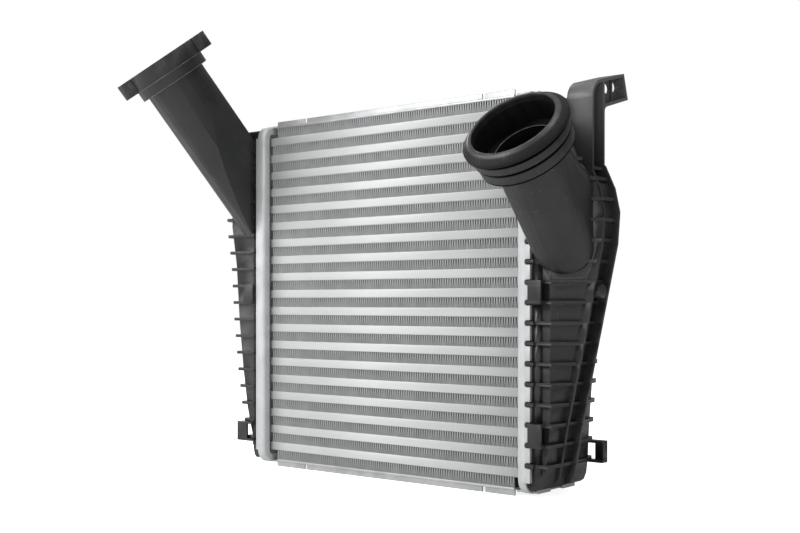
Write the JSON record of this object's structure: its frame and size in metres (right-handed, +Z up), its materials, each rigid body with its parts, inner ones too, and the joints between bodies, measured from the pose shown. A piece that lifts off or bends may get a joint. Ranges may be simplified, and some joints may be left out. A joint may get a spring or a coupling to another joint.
{
  "type": "intercooler",
  "caption": "Charge-air cooler for a car engine: finned aluminium core, crimped header trays and dark moulded end tanks with slanted necks.",
  "frame": {"origin": "under the core and level with the flanges of the bottom side plate, 3.25 mm right of the core's middle", "axes": "+X along the tubes from the left tank to the right tank as seen from the front, -Y out of the front face, +Z up"},
  "size_m": [0.4517, 0.1894, 0.4076],
  "materials": {
    "core_tube": "satin",
    "fin_strip": "satin",
    "side_plate": "satin",
    "header_tray": "satin",
    "tank_plastic": "matte",
    "seal_rubber": "matte",
    "sleeve_brass": "satin"
  },
  "bodies": {
    "root": {"fin_01": "fin_strip", "fin_02": "fin_strip", "fin_03": "fin_strip", "fin_04": "fin_strip", "fin_05": "fin_strip", "fin_06": "fin_strip", "fin_07": "fin_strip", "fin_08": "fin_strip", "fin_09": "fin_strip", "fin_10": "fin_strip", "fin_11": "fin_strip", "fin_12": "fin_strip", "fin_13": "fin_strip", "fin_14": "fin_strip", "fin_15": "fin_strip", "fin_16": "fin_strip", "fin_17": "fin_strip", "fin_18": "fin_strip", "fin_19": "fin_strip", "fin_20": "fin_strip", "flange_seal": "seal_rubber", "flange_sleeves": "sleeve_brass", "gasket_left": "seal_rubber", "gasket_right": "seal_rubber", "header_left": "header_tray", "header_right": "header_tray", "side_plate_bottom": "side_plate", "side_plate_top": "side_plate", "tank_left": "tank_plastic", "tank_right": "tank_plastic", "tube_01": "core_tube", "tube_02": "core_tube", "tube_03": "core_tube", "tube_04": "core_tube", "tube_05": "core_tube", "tube_06": "core_tube", "tube_07": "core_tube", "tube_08": "core_tube", "tube_09": "core_tube", "tube_10": "core_tube", "tube_11": "core_tube", "tube_12": "core_tube", "tube_13": "core_tube", "tube_14": "core_tube", "tube_15": "core_tube", "tube_16": "core_tube", "tube_17": "core_tube", "tube_18": "core_tube", "tube_19": "core_tube"}
  },
  "joints": []
}
